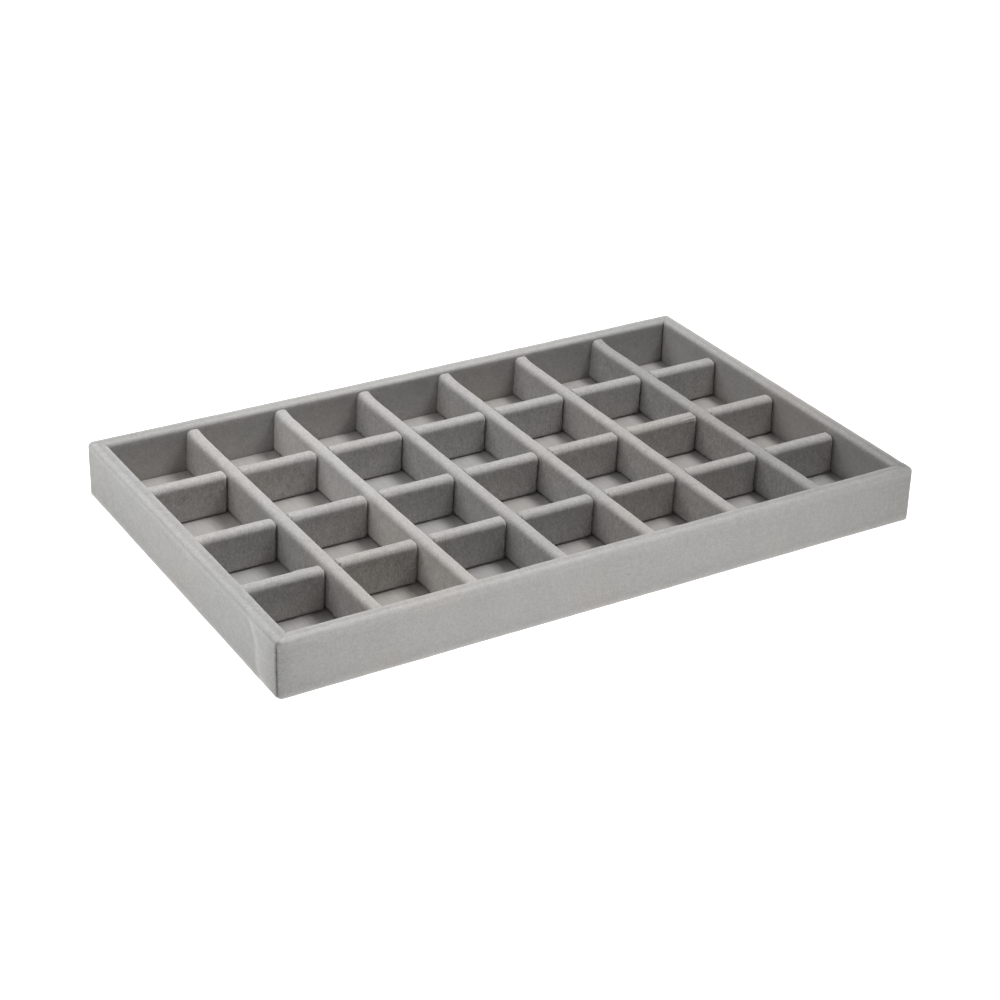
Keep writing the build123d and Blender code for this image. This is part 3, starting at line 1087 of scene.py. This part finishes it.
# Each lamp's place, the place that it faces, and its size
LAMPS = {
    "key": ((0.42, 0.04, 1.0), (-1.2, 0.29, 0.75), 0.55),
    "back": ((-0.30, 0.35, 0.40), (0.0, 0.0, 0.0), 0.25),
    "side": ((-0.45, 0.10, 0.35), (0.0, 0.0, 0.0), 0.25),
    "top": ((-0.05, 0.10, 0.50), (0.0, 0.0, 0.0), 0.30),
}
SENSOR = 36.0
WHITE = (1.0, 1.0, 1.0, 1.0)


def seen_directly(graph):
    """1 for what the camera, a reflection or glass looks at, and 0 for light that falls on the tray."""
    path = graph.node("ShaderNodeLightPath", output="Is Camera Ray")
    seen = path + path.other("Is Glossy Ray") + path.other("Is Transmission Ray")
    return seen.at_most(1.0)


def studio_floor(colour, bounce):
    """A pale floor that looks white and keeps the tray's shadow. From below it isn't seen."""
    material, graph, place = new_material("studio_floor")
    matt = graph.node("ShaderNodeBsdfDiffuse", sockets={"Color": colour})
    thrown, near, far = (graph.node("ShaderNodeEmission", sockets={"Color": WHITE, "Strength": level})
                         for level in (bounce, FLOOR_GLOW, 1.0))
    reach = graph.node("ShaderNodeVectorMath", {"operation": "LENGTH"}, {0: place}, output="Value")
    shown = graph.node("ShaderNodeMixShader", sockets={
        0: graph.ranged(reach, FLOOR_NEAR, FLOOR_FAR, 0.0, 1.0), 1: near, 2: far})
    glow = graph.node("ShaderNodeMixShader", sockets={0: seen_directly(graph), 1: thrown, 2: shown})
    lit = graph.node("ShaderNodeAddShader", sockets={0: matt, 1: glow})
    below = graph.node("ShaderNodeNewGeometry", output="Backfacing")
    clear = graph.node("ShaderNodeBsdfTransparent")
    shader = graph.node("ShaderNodeMixShader", sockets={0: below, 1: lit, 2: clear})
    graph.node("ShaderNodeOutputMaterial", sockets={"Surface": shader})
    mesh = bpy.data.meshes.new("studio_floor")
    corners = [(x * STUDIO_HALF, y * STUDIO_HALF, -STUDIO_GAP)
               for x, y in ((-1, -1), (1, -1), (1, 1), (-1, 1))]
    mesh.from_pydata(corners, [], [(0, 1, 2, 3)])
    mesh.materials.append(material)
    add_piece("studio_floor", mesh)


def studio_room(strength):
    """White where it is looked at, and a weak even light on the tray."""
    world = bpy.data.worlds.new("studio_room")
    world.use_nodes = True
    world.node_tree.nodes.clear()
    graph = Graph(world.node_tree)
    light, white = (graph.node("ShaderNodeBackground", sockets={"Color": WHITE, "Strength": level})
                    for level in (strength, 1.0))
    shown = graph.node("ShaderNodeMixShader", sockets={0: seen_directly(graph), 1: light, 2: white})
    graph.node("ShaderNodeOutputWorld", sockets={"Surface": shown})
    bpy.context.scene.world = world


def soft_lamp(name, place, target, size, power):
    """A square soft lamp that faces the target."""
    lamp = bpy.data.lights.new(name, "AREA")
    lamp.shape = "SQUARE"
    lamp.size = size
    lamp.energy = power
    holder = add_piece(name, lamp)
    holder.location = place
    holder.rotation_euler = (Vector(target) - Vector(place)).to_track_quat("-Z", "Y").to_euler()


def studio_camera(studio):
    """The camera, at the photograph's place and lean."""
    back = Vector((math.sin(studio.azimuth) * math.cos(studio.elevation),
                   -math.cos(studio.azimuth) * math.cos(studio.elevation), math.sin(studio.elevation)))
    level_right = Vector((0, 0, 1)).cross(back).normalized()
    level_up = back.cross(level_right)
    cosine, sine = math.cos(studio.roll), math.sin(studio.roll)
    right = cosine * level_right + sine * level_up
    up = cosine * level_up - sine * level_right
    camera = bpy.data.cameras.new("studio_camera")
    camera.lens = studio.lens
    camera.sensor_width = SENSOR
    holder = add_piece("studio_camera", camera)
    place = studio.aside * right + studio.above * up + studio.distance * back
    holder.matrix_world = Matrix.Translation(place) @ Matrix((right, up, back)).transposed().to_4x4()
    bpy.context.scene.camera = holder


class TRAY_OT_studio(Operator):
    """Sets the floor, the room, the lamps and the camera"""

    bl_idname = "tray.studio"
    bl_label = "Studio"

    def execute(self, context):
        studio = context.scene.tray_studio
        context.scene.view_settings.view_transform = "Standard"
        studio_floor(colour_of("studio"), studio.bounce)
        studio_room(studio.room)
        for name, setting in LAMPS.items():
            soft_lamp(f"{name}_lamp", *setting, getattr(studio, f"{name}_power"))
        studio_camera(studio)
        return {"FINISHED"}


class TRAY_PT_panel(Panel):
    """Lists the tray's steps and settings in the sidebar"""

    bl_label = "Velvet Jewelry Tray"
    bl_space_type = "VIEW_3D"
    bl_region_type = "UI"
    bl_category = "Tray"

    def draw(self, context):
        for group in (context.scene.tray_sizes, context.scene.tray_colours, context.scene.tray_studio):
            box = self.layout.box()
            for name in group.__annotations__:
                box.prop(group, name)
        for step in STEPS:
            self.layout.operator(step.bl_idname)


GROUPS = {"tray_sizes": TraySizes, "tray_colours": TrayColours, "tray_studio": TrayStudio}
STEPS = (TRAY_OT_wall_velvet, TRAY_OT_cross_dividers, TRAY_OT_short_dividers, TRAY_OT_floor_lining,
         TRAY_OT_underside_felt, TRAY_OT_boards, TRAY_OT_studio)


def register():
    for made in (*GROUPS.values(), *STEPS, TRAY_PT_panel):
        bpy.utils.register_class(made)
    for name, group in GROUPS.items():
        setattr(bpy.types.Scene, name, PointerProperty(type=group))


def unregister():
    for name in GROUPS:
        delattr(bpy.types.Scene, name)
    for made in reversed((*GROUPS.values(), *STEPS, TRAY_PT_panel)):
        bpy.utils.unregister_class(made)


def main():
    """Runs every step in order."""
    register()
    for step in STEPS:
        area, name = step.bl_idname.split(".")
        getattr(getattr(bpy.ops, area), name)()


if __name__ == "__main__":
    main()
